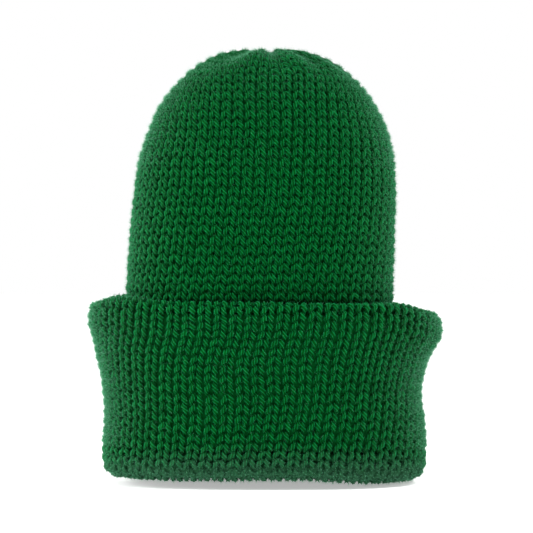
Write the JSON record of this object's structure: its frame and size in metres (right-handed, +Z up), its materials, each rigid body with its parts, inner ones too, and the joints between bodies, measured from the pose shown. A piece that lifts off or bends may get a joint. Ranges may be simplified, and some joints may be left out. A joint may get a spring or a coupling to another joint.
{
  "type": "knit beanie",
  "caption": "Chunky stockinette knit hat, two layers thick, with a gathered crown and a deep turned-up cuff that unfolds downwards.",
  "frame": {"origin": "middle of the footprint, on the surface that the hat's bottom roll stands on", "axes": "+Z up towards the crown, +X along the hat's width, the front faces -Y"},
  "size_m": [0.2168, 0.1132, 0.2674],
  "materials": {
    "knit_body": "soft plied yarn in plain stockinette, matt with a fine fuzz",
    "knit_cuff": "the same yarn in wider-set stockinette, matt with a fine fuzz",
    "knit_lining": "the same yarn in plain stockinette, matt",
    "gather_yarn": "soft plied yarn, matt"
  },
  "bodies": {
    "hat_body": {"body_crown": "knit_body", "body_wall": "knit_body", "lining_crown": "knit_lining", "lining_wall": "knit_lining", "brim_fold": "knit_cuff", "crown_gather_yarn": "gather_yarn", "lining_gather_yarn": "gather_yarn", "gather_knot": "gather_yarn", "crown_yarn_tail": "gather_yarn", "lining_yarn_tail": "gather_yarn"},
    "cuff_wall": {"cuff_outer_layer": "knit_cuff", "cuff_inner_layer": "knit_cuff"},
    "cuff_edge": {"cuff_edge_fold": "knit_cuff"}
  },
  "joints": [
    {"name": "cuff_unfold", "type": "slide", "parent": "hat_body", "child": "cuff_edge", "axis": [0, 0, -1], "range_m": [0, 0.212], "deforming": ["brim_fold"]},
    {"name": "cuff_wall_unfold", "type": "slide", "parent": "hat_body", "child": "cuff_wall", "axis": [0, 0, -1], "range_m": [0, 0.11], "deforming": ["cuff_outer_layer", "cuff_inner_layer"]}
  ],
  "couplings": [
    {"joint": "cuff_wall_unfold", "follows": "cuff_unfold", "ratio": 0.5188}
  ]
}
